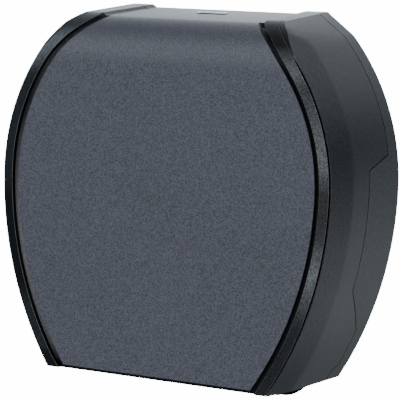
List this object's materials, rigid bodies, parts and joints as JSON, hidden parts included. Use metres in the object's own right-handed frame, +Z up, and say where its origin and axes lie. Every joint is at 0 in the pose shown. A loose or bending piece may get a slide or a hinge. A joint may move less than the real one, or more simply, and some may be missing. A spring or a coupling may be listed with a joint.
{
  "type": "jumbo toilet roll dispenser",
  "caption": "Wall-mounted jumbo toilet roll dispenser: hinged barrel-shaped cover with raised side bands, top lock, tear bars and a core hub on a braked spindle.",
  "frame": {"origin": "where the roll's axis meets the back face, the centre of the wall screw pattern", "axes": "+X to the right as seen from the room; +Y into the wall, so the dispenser stands out along -Y; +Z up"},
  "size_m": [0.332, 0.1164, 0.318],
  "materials": {
    "panel_plastic": "slate blue-grey moulded ABS with a fine grain, satin",
    "cover_plastic": "dark green-grey moulded ABS, semi-gloss",
    "housing_plastic": "dark green-grey moulded ABS, semi-gloss",
    "band_plastic": "near-black ABS with a worn, mottled gloss",
    "inner_plastic": "dark grey moulded plastic, matt",
    "hub_plastic": "pale grey acetal, satin",
    "tear_plastic": "black glass-filled plastic, matt",
    "friction_fibre": "pressed friction fibre, matt",
    "bezel_metal": "dark satin die-casting",
    "lock_metal": "nickel-plated",
    "steel": "zinc-plated, satin",
    "spring_steel": "bright spring steel",
    "screw_steel": "zinc-plated screws"
  },
  "bodies": {
    "housing": {"rear_housing": "housing_plastic", "spindle": "inner_plastic", "spindle_screws": "screw_steel", "friction_disc": "friction_fibre", "thrust_washer": "steel", "brake_spring": "spring_steel", "hub_washer": "steel", "hub_screw": "screw_steel", "strike": "steel", "strike_screws": "screw_steel"},
    "cover": {"cover_shell": "cover_plastic", "front_panel": "panel_plastic", "left_band": "band_plastic", "right_band": "band_plastic", "panel_clips": "spring_steel", "band_screws": "screw_steel", "left_hinge_arm": "inner_plastic", "right_hinge_arm": "inner_plastic", "hinge_arm_screws": "screw_steel", "left_hinge_pin": "steel", "right_hinge_pin": "steel", "left_tear_bar": "tear_plastic", "right_tear_bar": "tear_plastic", "tear_bar_screws": "screw_steel", "lock_bezel": "bezel_metal", "lock_barrel": "lock_metal", "lock_screws": "screw_steel"},
    "hub": {"core_hub": "hub_plastic"},
    "lock": {"lock_plug": "lock_metal", "lock_cam": "steel", "cam_screw": "screw_steel"}
  },
  "joints": [
    {"name": "cover_hinge", "type": "hinge", "parent": "housing", "child": "cover", "pos_m": [0, -0.0176, -0.152], "axis": [1, 0, 0], "range_deg": [0, 95]},
    {"name": "hub_spin", "type": "hinge", "parent": "housing", "child": "hub", "pos_m": [0, -0.05, 0], "axis": [0, -1, 0], "continuous": true},
    {"name": "lock_turn", "type": "hinge", "parent": "cover", "child": "lock", "pos_m": [0, -0.032, 0.14999], "axis": [0, 0.0872, -0.9962], "range_deg": [0, 90]}
  ]
}
